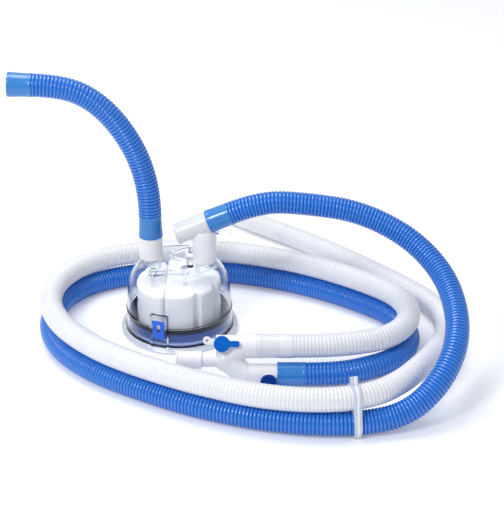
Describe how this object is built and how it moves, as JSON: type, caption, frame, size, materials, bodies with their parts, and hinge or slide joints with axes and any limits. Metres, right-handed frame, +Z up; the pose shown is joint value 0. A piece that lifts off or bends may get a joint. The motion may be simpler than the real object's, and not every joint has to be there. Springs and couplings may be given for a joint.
{
  "type": "ventilator breathing circuit",
  "caption": "Heated ventilator breathing circuit: clear humidification chamber with floats, dry line, blue and white ribbed limbs, Y-piece with turning patient port.",
  "frame": {"origin": "centre of the chamber's base, on the surface that the circuit lies on", "axes": "+Z up, out of the chamber's base towards its ports; +X from the inlet port to the outlet port; -Y towards the Y-piece"},
  "size_m": [0.4882, 0.5217, 0.3015],
  "materials": {
    "clear_shell": "clear, glossy",
    "clear_trim": "clear, soft gloss",
    "base_metal": "drawn, satin",
    "rim_metal": "rolled, semi-bright",
    "black_seal": "matt",
    "blue_tab": "satin",
    "frosted_white": "frosted",
    "white_moulding": "satin, slightly translucent",
    "blue_cuff": "soft satin",
    "blue_hose": "ribbed, satin",
    "grey_insert": "matt",
    "contact_brass": "bright",
    "blue_cap": "satin",
    "frosted_cuff": "translucent, smooth",
    "white_hose": "translucent, ribbed"
  },
  "bodies": {
    "root": {"chamber_dome": "clear_shell", "base_plate": "base_metal", "crimp_ring": "rim_metal", "base_seal": "black_seal", "level_tab": "blue_tab", "float_guide": "clear_shell", "valve_housing": "clear_shell", "feed_tube": "clear_shell", "inlet_adaptor": "white_moulding", "dry_line_cuff": "blue_cuff", "dry_line_hose": "blue_hose", "dry_line_end_cuff": "blue_cuff", "elbow_body": "white_moulding", "heater_socket": "grey_insert", "socket_pins": "contact_brass", "probe_port_cap": "clear_trim", "inspiratory_chamber_cuff": "blue_cuff", "inspiratory_hose": "blue_hose", "inspiratory_y_cuff": "blue_cuff", "y_piece_body": "white_moulding", "swivel_o_ring": "black_seal", "expiratory_y_cuff": "frosted_cuff", "expiratory_hose": "white_hose", "expiratory_end_sleeve": "frosted_cuff", "expiratory_connector": "white_moulding", "hose_clip": "white_moulding"},
    "primary_float": {"primary_float": "frosted_white"},
    "secondary_float": {"secondary_float": "frosted_white"},
    "patient_swivel": {"patient_swivel": "white_moulding"},
    "upper_port_cap": {"upper_port_cap": "blue_cap"},
    "lower_port_cap": {"lower_port_cap": "blue_cap"}
  },
  "joints": [
    {"name": "primary_float_slide", "type": "slide", "parent": "root", "child": "primary_float", "axis": [0, 0, 1], "range_m": [0, 0.008]},
    {"name": "secondary_float_slide", "type": "slide", "parent": "root", "child": "secondary_float", "axis": [0, 0, 1], "range_m": [0, 0.008]},
    {"name": "patient_swivel_turn", "type": "hinge", "parent": "root", "child": "patient_swivel", "pos_m": [0.015, -0.12125, 0.02611], "axis": [1, 0, 0], "continuous": true},
    {"name": "upper_cap_pull", "type": "slide", "parent": "root", "child": "upper_port_cap", "axis": [0, -0.7986, 0.6018], "range_m": [0, 0.008]},
    {"name": "lower_cap_pull", "type": "slide", "parent": "root", "child": "lower_port_cap", "axis": [0, -1, 0], "range_m": [0, 0.008]}
  ]
}
